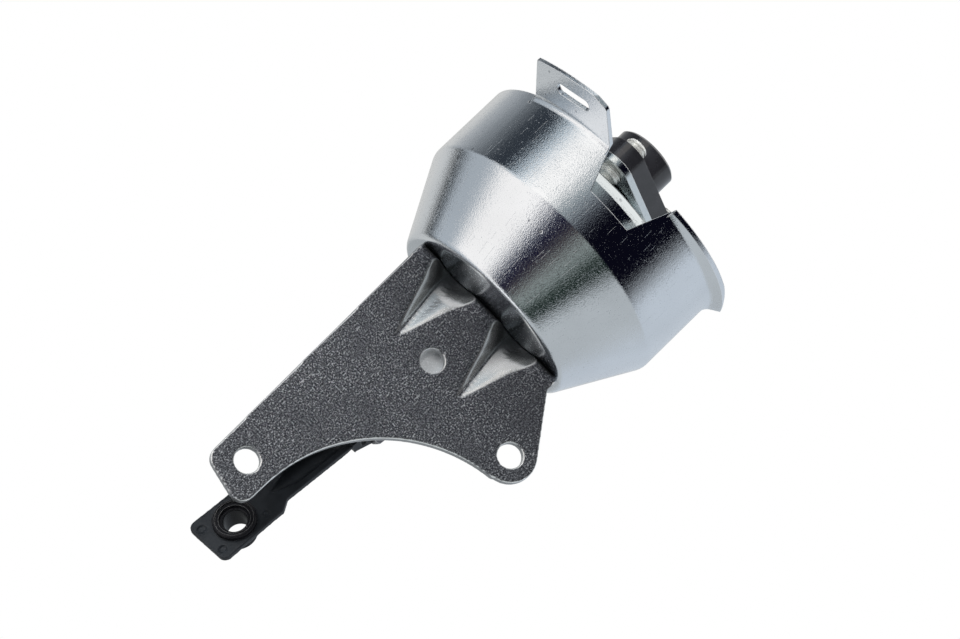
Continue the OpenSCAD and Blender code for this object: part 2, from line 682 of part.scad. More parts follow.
// Eye, each piece turned round the pin's axis, which points forwards
housing_len = 6;
housing_lip = 1.2;
bush_r = pin_bore_d / 2 + 0.9;

module round_pin_axis() on_eye() rotate([90, 0, 0]) rotate_extrude() children();

module eye_housing() color([0.09, 0.09, 0.10]) round_pin_axis() difference() {
    polygon(round_loop([[bush_r + 0.02, end_t / 2 - housing_len + housing_lip], [eye_hole_r - 0.02,
        end_t / 2 - housing_len + housing_lip], [eye_hole_r - 0.02, end_t / 2],
        [eye_ring_d / 2, end_t / 2], [eye_ring_d / 2, end_t / 2 + housing_lip],
        [bush_r + 0.02, end_t / 2 + housing_lip]], [0, 0.3, 0, 0, 0.5, 0.2]));
    translate([bush_r - over, end_t / 2 + 0.2]) square([over + 0.6, housing_lip]);
}

module eye_clip() color([0.16, 0.16, 0.17]) round_pin_axis()
    translate([bush_r - 0.15, end_t / 2 + 0.2]) square([0.72, 0.6]);

module eye_bush() color([0.12, 0.11, 0.11]) round_pin_axis() polygon(round_loop([
    [pin_bore_d / 2, end_t / 2 - housing_len + housing_lip - 0.5],
    [bush_r, end_t / 2 - housing_len + housing_lip - 0.5],
    [bush_r, end_t / 2 + 0.2], [pin_bore_d / 2, end_t / 2 + 0.2]], [0.2, 0.2, 0, 0.3]));

bracket();
outer_can();
lower_pan();
upper_cover();
crimp_ring();
diaphragm();
port_plate();
port_body();
port_seal();
port_screws();
guide_bush();
rod_wiper();
mounting_studs();
stud_washers();
stud_nuts();
return_spring();
piston_cup();
piston_washer();
rod();
lock_nut();
rod_end();
eye_housing();
eye_clip();
eye_bush();
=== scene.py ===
# %% [markdown]
# # A vacuum actuator for a turbocharger
# A zinc-plated can hides a diaphragm and a spring, and a folded steel bracket holds it.
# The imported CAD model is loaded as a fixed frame. This lesson gives its surfaces a finish
# and replaces the few pieces whose threads and soft pressings a plain solid doesn't show.

# %% The frame
import math

import bpy
import numpy as np
from mathutils import Matrix, Vector


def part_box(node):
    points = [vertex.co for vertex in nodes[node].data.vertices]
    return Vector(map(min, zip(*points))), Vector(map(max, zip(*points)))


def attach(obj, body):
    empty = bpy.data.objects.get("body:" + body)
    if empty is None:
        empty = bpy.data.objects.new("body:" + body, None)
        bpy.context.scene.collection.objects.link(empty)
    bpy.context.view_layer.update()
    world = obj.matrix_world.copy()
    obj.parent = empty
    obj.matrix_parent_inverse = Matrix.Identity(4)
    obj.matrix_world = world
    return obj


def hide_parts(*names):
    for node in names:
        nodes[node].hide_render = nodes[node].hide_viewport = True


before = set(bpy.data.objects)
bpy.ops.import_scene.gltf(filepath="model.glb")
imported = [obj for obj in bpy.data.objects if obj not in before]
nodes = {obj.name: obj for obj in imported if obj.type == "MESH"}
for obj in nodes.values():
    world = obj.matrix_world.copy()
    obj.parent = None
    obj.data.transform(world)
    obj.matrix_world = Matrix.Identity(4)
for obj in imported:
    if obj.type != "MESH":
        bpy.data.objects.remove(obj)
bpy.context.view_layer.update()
MM = 0.001

# %% [markdown]
# ## Places that other steps need
# Everything round is centred on the can's axis, so its place is measured from the frame,
# not typed in. The seat is where the can stands on the bracket's flange.

# %% The can's axis and seat
cover_low, cover_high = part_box("upper_cover")
axis_x = (cover_low.x + cover_high.x) / 2
axis_y = (cover_low.y + cover_high.y) / 2
seat_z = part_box("outer_can")[0].z
seat = Vector((axis_x, axis_y, seat_z))


def placed(name, data):
    """A new object in the scene."""
    obj = bpy.data.objects.new(name, data)
    bpy.context.scene.collection.objects.link(obj)
    return obj


print("axis at", round(axis_x / MM, 2), round(axis_y / MM, 2), "seat at", round(seat_z / MM, 2))

# %% [markdown]
# ## Camera
# The photograph looks almost straight at the bracket's front, from about 17 degrees below,
# and it is turned so that the can's axis runs up to the right. Angles say this best:
# where the camera stands round the part, how high, and how far it is rolled.

# %% Camera at the photograph's angle
view_azimuth = math.radians(1.79)
view_elevation = math.radians(-16.80)
view_roll = math.radians(46.08)
view_distance = 0.900
lens_mm = 165.3
aim_left_mm, aim_down_mm = 0.17, 0.61

away = Vector((
    math.sin(view_azimuth) * math.cos(view_elevation),
    -math.cos(view_azimuth) * math.cos(view_elevation),
    math.sin(view_elevation),
))
level_right = (-away).cross(Vector((0, 0, 1))).normalized()
level_up = level_right.cross(-away)
camera_up = math.cos(view_roll) * level_up - math.sin(view_roll) * level_right
camera_right = (-away).cross(camera_up)
aim = seat - aim_left_mm * MM * camera_right - aim_down_mm * MM * camera_up

camera = placed("camera", bpy.data.cameras.new("camera"))
camera.data.lens = lens_mm
camera.data.clip_start, camera.data.clip_end = 0.05, 20
turn = Matrix((camera_right, camera_up, away)).transposed().to_4x4()
camera.matrix_world = Matrix.Translation(aim + away * view_distance) @ turn
bpy.context.scene.camera = camera
print("camera at", [round(c, 3) for c in camera.location])

# %% [markdown]
# ## A small language for finishes
# A finish is a set of shader nodes. Written out node by node it is long and hard to read,
# so one class wraps a socket and lets Python's own signs add the maths nodes: `grain * 0.3`
# becomes one Math node, and `1 - mask` becomes two, because its number needs a node too.

# %% Sockets that can be added and multiplied
class Signal:
    """One number that changes over a surface: a socket, with arithmetic."""

    def __init__(self, finish, socket):
        self.finish, self.socket = finish, socket

    def maths(self, operation, *others):
        return self.finish.add("ShaderNodeMath", {"operation": operation}, {
            i: value for i, value in enumerate((self, *others))})

    def __add__(self, other): return self.maths("ADD", other)
    def __radd__(self, other): return self.maths("ADD", other)
    def __sub__(self, other): return self.maths("SUBTRACT", other)
    def __rsub__(self, other): return self.finish.number(other).maths("SUBTRACT", self)
    def __mul__(self, other): return self.maths("MULTIPLY", other)

    def above(self, low, high):
        """0 below low, 1 above high, and smooth in between."""
        return self.finish.add("ShaderNodeMapRange", {"interpolation_type": "SMOOTHSTEP"}, {
            "Value": self, "From Min": low, "From Max": high})

    def part(self, name):
        """Another output of the same node."""
        return Signal(self.finish, self.socket.node.outputs[name])


class Finish:
    """A material under construction."""

    def __init__(self, name):
        self.material = bpy.data.materials.new(name)
        self.material.use_nodes = True
        self.tree = self.material.node_tree
        self.shader = self.tree.nodes["Principled BSDF"]

    def add(self, kind, settings=None, inputs=None, output=0):
        node = self.tree.nodes.new(kind)
        for key, value in (settings or {}).items():
            setattr(node, key, value)
        for key, value in (inputs or {}).items():
            self.plug(node.inputs[key], value)
        return Signal(self, node.outputs[output])

    def plug(self, socket, value):
        if isinstance(value, Signal):
            self.tree.links.new(value.socket, socket)
        elif isinstance(value, tuple) and len(value) == 3 and socket.type == "RGBA":
            socket.default_value = (*value, 1)
        else:
            socket.default_value = value

    def number(self, value):
        """A constant as a signal."""
        return self.add("ShaderNodeMath", {"operation": "ADD"}, {0: value, 1: 0})

    def mix(self, factor, a, b):
        """Colour a where factor is 0, colour b where it is 1."""
        node = self.tree.nodes.new("ShaderNodeMix")
        node.data_type = "RGBA"
        for index, value in ((0, factor), (6, a), (7, b)):
            self.plug(node.inputs[index], value)
        return Signal(self, node.outputs[2])

    def vector(self, x, y, z):
        return self.add("ShaderNodeCombineXYZ", {}, {"X": x, "Y": y, "Z": z})

    def noise(self, place, scale, detail=2, roughness=0.5):
        return self.add("ShaderNodeTexNoise", {}, {
            "Vector": place, "Scale": scale, "Detail": detail, "Roughness": roughness})

    def paint(self, **values):
        for name, value in values.items():
            self.plug(self.shader.inputs[name.replace("_", " ")], value)
        return self.material


print("finish helpers ready")

# %% [markdown]
# ## Where a point is
# Sheet steel is drawn along the can, so its marks run along the axis. A finish therefore
# needs two sorts of coordinates: plain millimetres, and millimetres around and along
# the can. Both come from the point's place on the object, so they move with the piece.
# Edges need help as well: a bevel node rounds them, and shows where they are.

# %% Places in millimetres, and edges
CAN_RADIUS_MM = 30


def place_mm(finish):
    coords = finish.add("ShaderNodeTexCoord", output="Object")
    return finish.add("ShaderNodeVectorMath", {"operation": "SCALE"}, {0: coords, "Scale": 1 / MM})


def around_can(finish):
    """Distance round the can, distance from its axis and height above the seat, all in mm."""
    split = finish.add("ShaderNodeSeparateXYZ", {}, {0: place_mm(finish)})
    x = split - axis_x / MM
    y = split.part("Y") - axis_y / MM
    angle = y.maths("ARCTAN2", x)
    reach = (x * x + y * y).maths("SQRT")
    return angle * CAN_RADIUS_MM, reach, split.part("Z") - seat_z / MM


def rounded(finish, radius_mm):
    """Normals that turn gradually at every hard edge."""
    return finish.add("ShaderNodeBevel", {"samples": 6}, {"Radius": radius_mm * MM})


def soft_edges(finish, radius_mm, height):
    """Normals that round every hard edge, with the bump of a height in mm on top."""
    return finish.add("ShaderNodeBump", {}, {
        "Height": height, "Distance": MM, "Strength": 1.0, "Normal": rounded(finish, radius_mm)})


def edge_mask(finish, radius_mm):
    """1 on hard edges and 0 on flat faces."""
    face = finish.add("ShaderNodeNewGeometry", output="Normal")
    facing = finish.add("ShaderNodeVectorMath", {"operation": "DOT_PRODUCT"}, {
        0: rounded(finish, radius_mm), 1: face}, "Value")
    return (1 - facing).above(0.004, 0.08)


print("places and edges ready")

# %% [markdown]
# ## Zinc-plated sheet
# Bright zinc is a soft mirror. It isn't even: the plating has a fine grain of crystals about
# a fifth of a millimetre across, among them rougher specks of twice that size. The press
# leaves fine lines along the drawing direction, and handling leaves small pits. Grain and
# lines are bumps of a few hundredths of a millimetre at most, which is what breaks up the
# edges of reflections. The lock nut's dark phosphate is a duller cousin of the same finish.

# %% Zinc with drawing marks
def zinc(name, colour, lines=1.0, grain=1.0, roughness=0.075, metal=1.0):
    f = Finish(name)
    place = place_mm(f)
    around, reach, height = around_can(f)
    crystals = f.noise(place, 4.6, 1, 0.6)
    coarse = f.noise(place, 0.55, 2)
    drawn = f.noise(f.vector(around, reach * 0.2, height * 0.05), 1.7, 3, 0.55)
    clouds = f.noise(place, 0.06, 3)
    long_line = f.noise(f.vector(around, 0.0, height * 0.03), 4.0, 1)
    scratch = long_line.above(0.70, 0.715)
    speck = f.noise(place, 2.3, 2, 0.6).above(0.60, 0.72)
    worn_and_highlit_edge = edge_mask(f, 0.25)
    pits = f.add("ShaderNodeTexVoronoi", {}, {"Vector": place, "Scale": 0.32, "Randomness": 1.0})
    one_in_eight = f.add("ShaderNodeSeparateColor", {}, {0: pits.part("Color")}).above(0.86, 0.88)
    pit = (1 - pits.above(0.09, 0.16)) * one_in_eight
    tone = f.mix(clouds.above(0.35, 0.65), colour, tuple(c * 0.93 for c in colour))
    tone = f.mix(pit * 0.55, tone, (0.30, 0.31, 0.33))
    tone = f.mix(scratch * (0.35 * lines), tone, (0.93, 0.94, 0.95))
    # Edges: worn, and brightened with a painted highlight.
    tone = f.mix(worn_and_highlit_edge * 0.7, tone, (0.97, 0.97, 0.97))
    bump = crystals * (0.034 * grain) + coarse * (0.010 * grain)
    bump = bump + drawn * (0.006 * lines) - pit * 0.03 - scratch * (0.008 * lines)
    rough = roughness + (crystals - 0.5) * 0.08 + clouds.above(0.4, 0.7) * 0.04
    rough = rough + pit * 0.2 + worn_and_highlit_edge * 0.2 + speck * (0.30 * grain)
    return f.paint(
        Base_Color=tone, Metallic=metal, Roughness=rough, Normal=soft_edges(f, 0.25, bump))


zinc_sheet = zinc("zinc_sheet", (0.80, 0.83, 0.86))
zinc_cover = zinc("zinc_cover", (0.76, 0.80, 0.80), lines=0.4)
fastener_zinc = zinc(
    "fastener_zinc", (0.86, 0.86, 0.82), lines=0.0, grain=0.4, roughness=0.24, metal=0.7)
rod_zinc = zinc(
    "rod_zinc", (0.84, 0.86, 0.87), lines=0.0, grain=0.7, roughness=0.26, metal=0.2)
nut_phosphate = zinc(
    "nut_phosphate", (0.10, 0.10, 0.11), lines=0.0, grain=0.4, roughness=0.40, metal=0.6)
inner_steel = zinc("inner_steel", (0.60, 0.61, 0.62), lines=0.5, grain=0.6, roughness=0.32)
print("zinc finishes: 6")

# %% [markdown]
# ## Dark bracket steel
# The bracket has a dark, slightly glittering skin: thousands of tiny facets, most of them
# dark, a few catching the light. A fine noise drives both the bump and the brightness.
# Cut edges are a lighter grey, hard edges are worn with a painted highlight, and the dart slopes get a
# painted highlight and a smoother skin. Dart bottoms and the plate towards the can get painted shade.

# %% Speckled dark steel
def bracket_skin():
    f = Finish("bracket_steel")
    place = place_mm(f)
    fine = f.noise(place, 3.0, 2, 0.7)
    middle = f.noise(place, 0.8, 3, 0.6)
    clouds = f.noise(place, 0.12, 2)
    small_fleck = f.noise(place, 3.0, 1, 0.5).above(0.58, 0.66)
    stretched = f.add("ShaderNodeMapping", {}, {
        "Vector": place, "Rotation": (0, 0.6, 0), "Scale": (1.0, 1.0, 0.45)})
    large_fleck = f.noise(stretched, 1.7, 1, 0.5).above(0.66, 0.71)
    flecks = small_fleck.maths("MAXIMUM", large_fleck) * clouds.above(0.25, 0.6)
    worn_and_highlit_edge = edge_mask(f, 0.45)
    # Where the point is, and which way its face looks: x is sideways, y is away from the front.
    where = f.add("ShaderNodeSeparateXYZ", {}, {0: place})
    normal = f.add("ShaderNodeSeparateXYZ", {}, {
        0: f.add("ShaderNodeNewGeometry", output="Normal")})
    side = (1 - normal.part("Y").maths("ABSOLUTE")).above(0.80, 0.96)
    # Dart slopes get a painted highlight, with less bump and a lower roughness.
    bent = normal.maths("ABSOLUTE").above(0.10, 0.36) * (1 - side)
    # Painted shade in the bottom of each dart.
    dart_valley_shade = where.part("Y").above(0.9, 3.4) * (normal.part("Y") * -1).above(0.0, 0.2)
    painted_can_shade = where.part("Z").above(10, 36)
    tone = f.mix(fine.above(0.40, 0.62), (0.062, 0.064, 0.072), (0.33, 0.34, 0.37))
    tone = f.mix(middle.above(0.45, 0.7) * 0.4, tone, (0.30, 0.305, 0.33))
    tone = f.mix(flecks * 0.8, tone, (0.95, 0.97, 1.0))
    # Painted highlight on the dart slopes.
    tone = f.mix(bent * 0.9, tone, (0.97, 0.98, 0.97))
    tone = f.mix(dart_valley_shade * 0.9, tone, (0.09, 0.10, 0.10))
    # Painted shade on the plate towards the can.
    tone = f.mix(painted_can_shade * 0.4, tone, (0.06, 0.06, 0.07))
    tone = f.mix(side, tone, (0.34, 0.35, 0.36))
    # Hard edges: worn, and brightened with a painted highlight.
    tone = f.mix(worn_and_highlit_edge * 0.55, tone, (0.90, 0.90, 0.88))
    bump = (fine * 0.11 + middle * 0.05) * (1 - bent * 0.94)
    rough = 0.36 + (fine - 0.5) * (0.3 - bent * 0.28) - bent * 0.15
    return f.paint(
        Base_Color=tone, Metallic=0.92, Roughness=rough, Normal=soft_edges(f, 0.3, bump))


bracket_steel = bracket_skin()
print("bracket finish ready")

# %% [markdown]
# ## Black pieces
# The port is moulded in glossy black plastic, the rod end is dipped in satin black paint,
# and the seals are matt rubber. All three are nearly the same black: what tells them apart
# is gloss, and the faint texture that each way of making leaves.

# %% Black plastic, black paint and rubber
def black(name, colour, roughness, texture_scale, texture_mm, edge_tone, edge_share,
          coat=0.0, shine=0.5):
    f = Finish(name)
    place = place_mm(f)
    skin = f.noise(place, texture_scale, 3, 0.6)
    patches = f.noise(place, 0.25, 2)
    worn_and_highlit_edge = edge_mask(f, 0.2)
    tone = f.mix(patches.above(0.35, 0.7), colour, tuple(c * 1.5 for c in colour))
    # Edges get a painted highlight in edge_tone, as thin light lines, over a little wear.
    tone = f.mix(worn_and_highlit_edge * edge_share, tone, edge_tone)
    rough = roughness + (skin - 0.5) * 0.12 + patches.above(0.5, 0.7) * 0.06
    return f.paint(
        Base_Color=tone, Roughness=rough, Coat_Weight=coat, Specular_IOR_Level=shine,
        Normal=soft_edges(f, 0.2, skin * texture_mm))


black_plastic = black(
    "black_plastic", (0.013, 0.013, 0.015), 0.16, 1.4, 0.004, (0.05, 0.05, 0.055), 0.5, coat=0.3)
black_coat = black(
    "black_coat", (0.0085, 0.0100, 0.0120), 0.36, 2.0, 0.03, (0.14, 0.15, 0.16), 0.6, shine=0.24)
eye_steel = black(
    "eye_steel", (0.004, 0.004, 0.005), 0.26, 2.0, 0.01, (0.20, 0.20, 0.20), 0.6, shine=0.12)
rubber = black("rubber", (0.020, 0.020, 0.020), 0.72, 3.0, 0.03, (0.04, 0.04, 0.04), 0.3)
print("black finishes: 4")

# %% [markdown]
# ## Spring wire and sintered bronze
# The spring is drawn wire with a thin oil film, and the guide bush is pressed from bronze
# powder, so it is grainy and full of tiny pores.

# %% Wire and bronze
def wire_skin():
    f = Finish("spring_steel")
    place = place_mm(f)
    streak = f.noise(place, 1.6, 4, 0.7)
    tone = f.mix(streak.above(0.35, 0.65), (0.30, 0.31, 0.34), (0.46, 0.47, 0.49))
    return f.paint(Base_Color=tone, Metallic=1.0, Roughness=0.26 + streak * 0.12,
                   Normal=soft_edges(f, 0.1, streak * 0.006))


def bronze_skin():
    f = Finish("bush_bronze")
    place = place_mm(f)
    grain = f.noise(place, 5.0, 3, 0.6)
    pore = 1 - f.add("ShaderNodeTexVoronoi", {}, {"Vector": place, "Scale": 2.4}).above(0.12, 0.24)
    tone = f.mix(grain.above(0.3, 0.7), (0.46, 0.35, 0.20), (0.62, 0.49, 0.30))
    tone = f.mix(pore * 0.7, tone, (0.10, 0.08, 0.05))
    return f.paint(Base_Color=tone, Metallic=0.95, Roughness=0.40 + grain * 0.15,
                   Normal=soft_edges(f, 0.2, grain * 0.02 - pore * 0.03))


spring_steel, bush_bronze = wire_skin(), bronze_skin()
print("wire and bronze ready")

# %% [markdown]
# ## Threads
# A thread is a screw line: the radius at a point depends on how far the point has turned and
# how far it has climbed. Rings of points with that radius, stacked closely, make the mesh.
# The same rings carry a set screw with a hexagon socket, a stud and the end of the bent rod.

# %% Rings with a thread
AROUND = 60  # points round each ring
CENTRE = 0.01  # radius of the small ring that closes an end
THREAD_DEPTH = 0.58  # as a share of the pitch
FLAT_ROOT, FLANK = 0.14, 0.66  # as shares of half a turn; a flat crest takes the rest


def thread(angle, climb, radius, pitch):
    """Radius of a thread after a turn and a climb."""
    phase = (climb / pitch - angle / (2 * math.pi)) % 1
    raised = min(max((abs(2 * phase - 1) - FLAT_ROOT) / FLANK, 0), 1)
    return radius - THREAD_DEPTH * pitch * (1 - raised)


def ring(radius, z):
    """Points round the z axis. The radius is a number, or a function of the angle."""
    angles = [2 * math.pi * k / AROUND for k in range(AROUND)]
    reach = radius if callable(radius) else (lambda angle: radius)
    return [Vector((reach(a) * math.cos(a), reach(a) * math.sin(a), z)) for a in angles]


def hexagon(flats):
    """Radius of a hexagon as a function of the angle."""
    return lambda a: flats / 2 / math.cos((a % (math.pi / 3)) - math.pi / 6)


def threaded(radius, low, high, pitch, from_z, to_z, bevel=0.5, step=0.08):
    """Rings of a bolt's shank from low to high, with a thread between two heights."""
    rings = []
    for i in range(round((high - low) / step) + 1):
        z = min(low + i * step, high)
        limit = radius - max(0, bevel - (z - low), bevel - (high - z) if to_z >= high else 0)
        if from_z <= z <= to_z:
            rings.append(ring(lambda a, z=z, m=limit: min(m, thread(a, z, radius, pitch)), z))
        else:
            rings.append(ring(limit, z))
    return rings


def solid(name, parts, place, finish, body):
    """One object from stacks of rings. Each stack is smooth, and breaks against the next."""
    points, faces = [], []
    for rings in parts:
        base = len(points)
        points += [place(p) for one in rings for p in one]
        faces += [(base + i * AROUND + k, base + i * AROUND + (k + 1) % AROUND,
                   base + (i + 1) * AROUND + (k + 1) % AROUND, base + (i + 1) * AROUND + k)
                  for i in range(len(rings) - 1) for k in range(AROUND)]
    mesh = bpy.data.meshes.new(name)
    mesh.from_pydata([p * MM for p in points], [], faces)
    mesh.materials.append(finish)
    mesh.shade_smooth()
    obj = placed(name, mesh)
    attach(obj, body)
    return obj


def from_seat(x=0.0, y=0.0):
    """Carries a point in mm from the seat, or from a place beside it, into the frame."""
    shift = Vector((axis_x / MM + x, axis_y / MM + y, seat_z / MM))
    return lambda p: p + shift


print("points round each ring:", AROUND)

# %% Set screws with a hexagon socket
ear_distance, ear_turn = 12.3, 11
screw_radius, screw_pitch, screw_bevel = 2.5, 0.8, 0.5
key_flats, key_chamfer, key_depth, key_cone_depth = 2.5, 0.12, 2.2, 2.9
stands_out = 0.6  # above the place that the CAD screws have
screw_low, screw_high = ((c.z - seat_z) / MM + stands_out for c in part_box("port_screws"))
key = hexagon(key_flats)


def wide_key(angle):
    return key(angle) + key_chamfer


screw_parts = [
    [ring(CENTRE, screw_low), ring(screw_radius - screw_bevel, screw_low)],
    threaded(screw_radius, screw_low, screw_high, screw_pitch, screw_low, screw_high),
    [ring(screw_radius - screw_bevel, screw_high), ring(wide_key, screw_high)],
    [ring(wide_key, screw_high), ring(key, screw_high - key_chamfer)],
    [ring(key, screw_high - key_chamfer), ring(key, screw_high - key_depth)],
    [ring(key, screw_high - key_depth), ring(CENTRE, screw_high - key_cone_depth)],
]
screws = []
for k in range(3):
    turned = math.radians(270 - ear_turn + 120 * k)
    screws.append(solid(f"set_screw_{k + 1}", screw_parts, from_seat(
        ear_distance * math.cos(turned), ear_distance * math.sin(turned)), fastener_zinc, "housing"))
for screw in screws:
    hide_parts("port_screws")
print("set screws:", len(screws), "length", round(screw_high - screw_low, 2))

# %% [markdown]
# ### Studs and rod
# A stud is a threaded shank with a flat head. The rod is made straight, with the thread at
# its lower end and a riveted head at its upper one, and is then carried point by point round
# the bend below the can.

# %% Studs and the bent rod
stud_distance, stud_radius, stud_pitch, stud_bevel = 14.4, 2.5, 0.8, 0.5
head_radius, head_height, head_fillet, head_bevel = 4.0, 1.4, 0.15, 0.3
stud_thread_top = -2.4
stud_low, stud_high = ((c.z - seat_z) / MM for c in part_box("mounting_studs"))
shoulder = stud_high - head_height
stud_parts = [
    [ring(CENTRE, stud_low), ring(stud_radius - stud_bevel, stud_low)],
    threaded(stud_radius, stud_low, shoulder, stud_pitch, stud_low, stud_thread_top),
    [ring(stud_radius, shoulder), ring(head_radius - head_fillet, shoulder)],
    [ring(head_radius - head_fillet, shoulder), ring(head_radius, shoulder + head_fillet),
     ring(head_radius, stud_high - head_bevel)],
    [ring(head_radius, stud_high - head_bevel), ring(head_radius - head_bevel, stud_high)],
    [ring(head_radius - head_bevel, stud_high), ring(CENTRE, stud_high)],
]
studs = []
for k, degrees in enumerate((34, 146)):
    turned = math.radians(degrees)
    studs.append(solid(f"stud_{k + 1}", stud_parts, from_seat(
        stud_distance * math.cos(turned), stud_distance * math.sin(turned)), fastener_zinc, "housing"))
for stud in studs:
    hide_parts("mounting_studs")

rod_radius, bend_radius, bend_z, tilt = 3.0, 24.0, -18.0, math.radians(5.2)
tail_length, tail_thread, rod_pitch, rod_bevel = 16.1, 13.0, 1.0, 0.6
spigot_radius, rivet_radius = 2.3, 4.0
rod_top = (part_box("rod")[1].z - seat_z) / MM
washer_z, cup_top = rod_top - 4.9, rod_top - 1.6


def on_rod(p):
    """Carries a point of the straight rod to the bent one: below the bend z is length along it."""
    if p.z >= bend_z:
        return Vector((p.x, p.y, p.z))
    arc = bend_radius * tilt
    turn_here = tilt * min((bend_z - p.z) / arc, 1)
    beyond = max(bend_z - p.z - arc, 0)
    centre = Vector((-bend_radius, 0, bend_z))
    outward = Vector((math.cos(turn_here), 0, -math.sin(turn_here)))
    along = Vector((-math.sin(turn_here), 0, -math.cos(turn_here)))
    return centre + outward * (bend_radius + p.x) + along * beyond + Vector((0, p.y, 0))


rod_low = bend_z - bend_radius * tilt - tail_length
lift = from_seat()
rod_parts = [
    [ring(CENTRE, rod_low), ring(rod_radius - rod_bevel, rod_low)],
    threaded(rod_radius, rod_low, washer_z, rod_pitch, rod_low, rod_low + tail_thread,
             bevel=rod_bevel, step=0.1),
    [ring(rod_radius, washer_z), ring(spigot_radius, washer_z)],
    [ring(spigot_radius, washer_z), ring(spigot_radius, cup_top)],
    [ring(spigot_radius, cup_top), ring(rivet_radius, cup_top)],
    [ring(rivet_radius, cup_top), ring(3.8, cup_top + 0.6), ring(3.3, cup_top + 1.2),
     ring(2.8, rod_top), ring(CENTRE, rod_top)],
]
bent_rod = solid("bent_rod", rod_parts, lambda p: lift(on_rod(p)), rod_zinc, "rod_body")
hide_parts("rod")
print("studs:", len(studs), "rod from", round(rod_low, 1), "to", round(rod_top, 1))

# %% [markdown]
# ## Soft pressings
# A press leaves soft edges. A CAD piece is sampled again as an even mesh of little squares,
# whose points can be moved with plain arithmetic and averaged with their neighbours.

# %% Even meshes
def even_mesh(source, size_mm):
    """A piece's shape as a mesh of even little squares."""
    copy = source.copy()
    bpy.context.scene.collection.objects.link(copy)
    remesh = copy.modifiers.new("even", "REMESH")
    remesh.mode, remesh.voxel_size = "VOXEL", size_mm * MM
    bpy.context.view_layer.update()
    seen_copy = copy.evaluated_get(bpy.context.evaluated_depsgraph_get())
    mesh = bpy.data.meshes.new_from_object(seen_copy)
    bpy.data.objects.remove(copy)
    return mesh


def averaged(values, edges, share, times):
    """Values of each vertex pulled towards its neighbours' mean, by a share for each vertex."""
    count = np.bincount(edges.ravel(), minlength=len(values))
    for _ in range(times):
        total = np.bincount(edges[:, 0], values[edges[:, 1]], len(values))
        total += np.bincount(edges[:, 1], values[edges[:, 0]], len(values))
        values = values + share * (total / np.maximum(count, 1) - values)
    return values


def ramp(values, low, high):
    """0 below low, 1 above high, and straight in between."""
    return np.clip((values - low) / (high - low), 0, 1)


def per_vertex(mesh, name):
    """Places ("co") or normals ("normal") of a mesh's points, one row for each."""
    values = np.empty(len(mesh.vertices) * 3)
    mesh.vertices.foreach_get(name, values)
    return values.reshape(-1, 3)


def edge_ends(mesh):
    """The two points of each edge of a mesh."""
    ends = np.empty(len(mesh.edges) * 2, dtype=np.int32)
    mesh.edges.foreach_get("vertices", ends)
    return ends.reshape(-1, 2)


def pressed(name, mesh, points, finish, source):
    """An object from an even mesh whose points have moved, with its small steps averaged away."""
    edges = edge_ends(mesh)
    for axis in range(3):
        points[:, axis] = averaged(points[:, axis], edges, np.full(len(points), 0.4), 2)
    mesh.vertices.foreach_set("co", points.ravel())
    mesh.update()
    mesh.materials.clear()
    mesh.materials.append(finish)
    mesh.shade_smooth()
    obj = placed(name, mesh)
    obj.matrix_world = source.matrix_world
    return obj


print("helpers for pressings ready")

# %% [markdown]
# ### Darts
# The two darts run out gently into the bracket's plate. Only the depth of points near them
# changes, so the holes and the outline stay where they are.

# %% The bracket with soft darts
dart_from_axis, dart_length, dart_half_width, dart_reach = 8.8, 19.8, 6.5, 8.4
dart_depth, plate_thickness = 4.6, 2.5
left_side, valley_lean = 6.0, 2.3
plate_mesh = even_mesh(nodes["bracket"], 0.3)
points = per_vertex(plate_mesh, "co")
normal_y = per_vertex(plate_mesh, "normal")[:, 1]
front = normal_y < 0
x, z = (points[:, 0] - axis_x) / MM, (points[:, 2] - seat_z) / MM

# The groove is a V whose valley leans to the left, with rounded shoulders. It is 0 at the tip
# and deepest at the fold.
along = np.clip(1 + z / dart_length, 0, 1)
beside = np.where(x < 0, x + dart_from_axis, x - dart_from_axis)
left = -left_side * along ** 1.2 - 1e-6
valley = -valley_lean * along
right = dart_half_width * along + 1e-6
falling = (beside - left) / (valley - left)
rising = (right - beside) / (right - valley)
shape = np.minimum(np.clip(falling, 0, 1) ** 1.3, np.clip(rising, 0, 1) ** 1.6)
groove = dart_depth * along * shape
target = (groove + np.where(front, 0, plate_thickness)) * MM

# Points of the plate's two faces near a dart take their place in the groove.
near = ramp(dart_reach - np.abs(beside), 0, 1.5)
taken = near * (1 - ramp(z, -4.5, -1.5)) * (z > -dart_length) * (np.abs(normal_y) > 0.25)
points[:, 1] += taken * (target - points[:, 1])

# The shoulders are then averaged, more towards the fold and least in the valley.
at_valley = np.exp(-((beside - valley) / 0.7) ** 2)
soft = ramp(dart_half_width * along + 3.0 - np.abs(beside), 0, 2.0)
soft = soft * ramp(z, -22, -19) * (1 - ramp(z, -2.5, -0.3))
soft = soft * (0.15 + 0.85 * along) * (1 - 0.85 * at_valley)
points[:, 1] = averaged(points[:, 1], edge_ends(plate_mesh), 0.9 * soft, 90)
soft_bracket = pressed("pressed_bracket", plate_mesh, points, bracket_steel, nodes["bracket"])
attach(soft_bracket, "housing")
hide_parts("bracket")
print("bracket squares:", len(plate_mesh.polygons))

# %% [markdown]
# ### Rod end
# The rod end is a thin pressing too. Its socket hugs the rod behind the bracket, so the even
# mesh is drawn in towards the rod from the neck upwards, in the eye's own directions: x runs
# across the eye plate, y away from its front and z up along the rod.

# %% The rod end with a slim socket
eye_drop, eye_turn = 66.7, math.radians(28)
tail_reach = (eye_drop + bend_z - bend_radius * math.sin(tilt)) / math.cos(tilt)
eye = seat + MM * Vector((
    bend_radius * (math.cos(tilt) - 1) - tail_reach * math.sin(tilt), 0, -eye_drop))
up = Vector((math.sin(tilt), 0, math.cos(tilt)))
back = Vector((
    math.sin(eye_turn) * math.cos(tilt), math.cos(eye_turn), -math.sin(eye_turn) * math.sin(tilt)))
sideways = back.cross(up)
end_mesh = even_mesh(nodes["rod_end"], 0.16)
local = (per_vertex(end_mesh, "co") - np.array(eye)) @ np.array([sideways, back, up]).T

